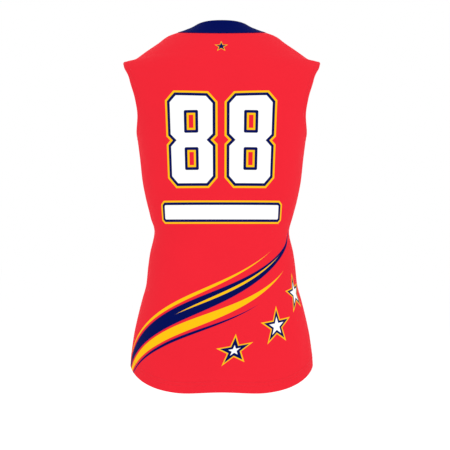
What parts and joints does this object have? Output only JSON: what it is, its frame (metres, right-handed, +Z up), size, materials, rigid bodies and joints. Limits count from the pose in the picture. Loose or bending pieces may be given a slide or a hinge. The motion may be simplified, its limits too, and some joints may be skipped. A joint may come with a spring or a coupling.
{
  "type": "volleyball jersey",
  "caption": "Sleeveless volleyball jersey in its worn, hollow form: crew neckband, extended shoulders, shaped waist, curved hem, plain number, sweeping bands and stars.",
  "frame": {"origin": "on the middle plane, level with the high shoulder points, where the shoulder seams meet the neckband: where the wearer's shoulders hold the jersey", "axes": "+Z up, the length of the jersey; +Y out of the back, so the front faces -Y; +X the wearer's left"},
  "size_m": [0.3534, 0.2383, 0.6461],
  "materials": {
    "red_knit": "matt knitted polyester, fine even face, very slight sheen",
    "navy_knit": "matt knitted polyester rib, folded double"
  },
  "bodies": {
    "root": {"back": "red_knit", "front": "red_knit", "collar": "navy_knit"}
  },
  "joints": []
}
